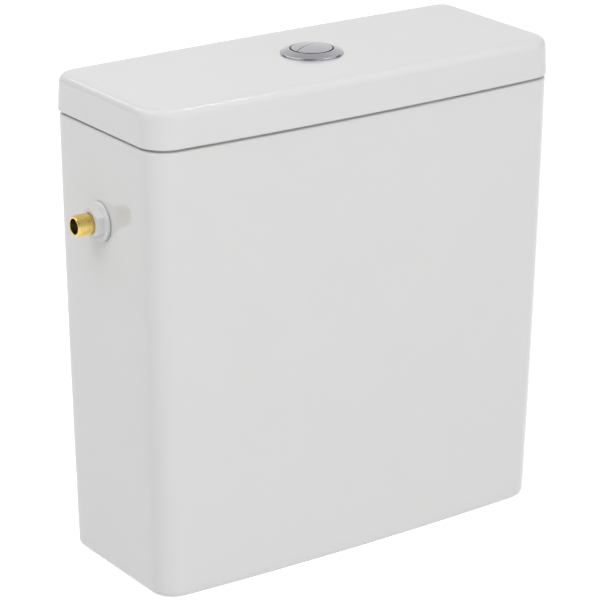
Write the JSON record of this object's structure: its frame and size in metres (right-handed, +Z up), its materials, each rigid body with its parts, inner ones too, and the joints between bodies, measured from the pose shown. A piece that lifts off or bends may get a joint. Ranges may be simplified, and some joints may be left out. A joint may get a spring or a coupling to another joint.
{
  "type": "toilet cistern",
  "caption": "White ceramic close-coupled toilet cistern with a lift-off lid, a twin chrome push button, a side water inlet, a dual flush valve and a float fill valve.",
  "frame": {"origin": "on the axis of the outlet, in the plane of the bottom rim", "axes": "+Z up, -Y towards the front, +X to the right when facing the front from outside, so the inlet is at -X"},
  "size_m": [0.3965, 0.1514, 0.3982],
  "materials": {
    "white_glaze": "glossy white glaze",
    "chrome": "polished chrome plate",
    "brass": "machined brass",
    "white_plastic": "white moulded plastic",
    "grey_plastic": "grey moulded plastic",
    "blue_plastic": "blue moulded plastic",
    "dark_rubber": "black rubber",
    "grey_foam": "dense grey foam rubber",
    "plated_steel": "zinc plated steel",
    "spring_steel": "drawn stainless wire"
  },
  "bodies": {
    "cistern": {"tank": "white_glaze", "valve_base": "white_plastic", "base_seal": "dark_rubber", "outlet_nut": "white_plastic", "pan_seal_ring": "grey_foam", "valve_tower": "grey_plastic", "valve_head": "white_plastic", "lever_pins": "plated_steel", "inlet_tail": "brass", "inlet_nut": "white_plastic", "inlet_washer": "dark_rubber", "inlet_strainer": "grey_plastic", "fill_valve_body": "white_plastic", "diaphragm": "dark_rubber", "fill_valve_cap": "blue_plastic", "discharge_tube": "white_plastic", "float_arm_pin": "plated_steel", "coupling_bolts": "plated_steel", "bolt_seals": "dark_rubber", "bolt_washers": "plated_steel", "bolt_nuts": "plated_steel"},
    "lid": {"lid": "white_glaze", "bezel": "chrome", "bezel_gasket": "grey_foam", "bezel_nut": "white_plastic", "full_button_spring": "spring_steel", "half_button_spring": "spring_steel"},
    "full_button": {"full_flush_button": "chrome", "full_push_rod": "white_plastic"},
    "half_button": {"half_flush_button": "chrome", "half_push_rod": "white_plastic"},
    "full_lever": {"full_flush_lever": "blue_plastic"},
    "half_lever": {"half_flush_lever": "grey_plastic"},
    "full_valve": {"lifting_sleeve": "blue_plastic", "main_seal": "dark_rubber", "full_lift_yoke": "blue_plastic"},
    "half_valve": {"overflow_tube": "white_plastic", "half_seal": "dark_rubber", "half_lift_yoke": "grey_plastic"},
    "float": {"fill_float": "grey_plastic", "float_link": "white_plastic"},
    "float_arm": {"float_arm": "white_plastic", "pilot_seal": "dark_rubber"}
  },
  "joints": [
    {"name": "lid_lift", "type": "slide", "parent": "cistern", "child": "lid", "axis": [0, 0, 1], "range_m": [0, 0.15]},
    {"name": "full_flush_press", "type": "slide", "parent": "lid", "child": "full_button", "axis": [0, 0, -1], "range_m": [0, 0.008], "stiffness_N_per_m": 400, "springref_m": -0.004, "deforming": ["full_button_spring"]},
    {"name": "half_flush_press", "type": "slide", "parent": "lid", "child": "half_button", "axis": [0, 0, -1], "range_m": [0, 0.008], "stiffness_N_per_m": 400, "springref_m": -0.004, "deforming": ["half_button_spring"]},
    {"name": "full_lever_rock", "type": "hinge", "parent": "cistern", "child": "full_lever", "pos_m": [0.00874, -0.02401, 0.29], "axis": [-0.9397, -0.342, 0], "range_deg": [0, 23.1]},
    {"name": "half_lever_rock", "type": "hinge", "parent": "cistern", "child": "half_lever", "pos_m": [-0.00908, 0.02495, 0.29], "axis": [0.9397, 0.342, 0], "range_deg": [0, 29]},
    {"name": "full_valve_lift", "type": "slide", "parent": "cistern", "child": "full_valve", "axis": [0, 0, 1], "range_m": [0, 0.008]},
    {"name": "half_valve_lift", "type": "slide", "parent": "full_valve", "child": "half_valve", "axis": [0, 0, 1], "range_m": [0, 0.008]},
    {"name": "float_rise", "type": "slide", "parent": "cistern", "child": "float", "axis": [0, 0, 1], "range_m": [0, 0.02]},
    {"name": "float_arm_rock", "type": "hinge", "parent": "cistern", "child": "float_arm", "pos_m": [-0.08782, 0.0096, 0.2565], "axis": [0, 1, 0], "range_deg": [0, 32.3]}
  ],
  "couplings": [
    {"joint": "full_lever_rock", "follows": "full_flush_press", "rad_per_m": 50.339},
    {"joint": "full_valve_lift", "follows": "full_flush_press", "ratio": 1},
    {"joint": "half_lever_rock", "follows": "half_flush_press", "rad_per_m": 63.17},
    {"joint": "half_valve_lift", "follows": "half_flush_press", "ratio": 1},
    {"joint": "float_arm_rock", "follows": "float_rise", "rad_per_m": 28.148}
  ]
}
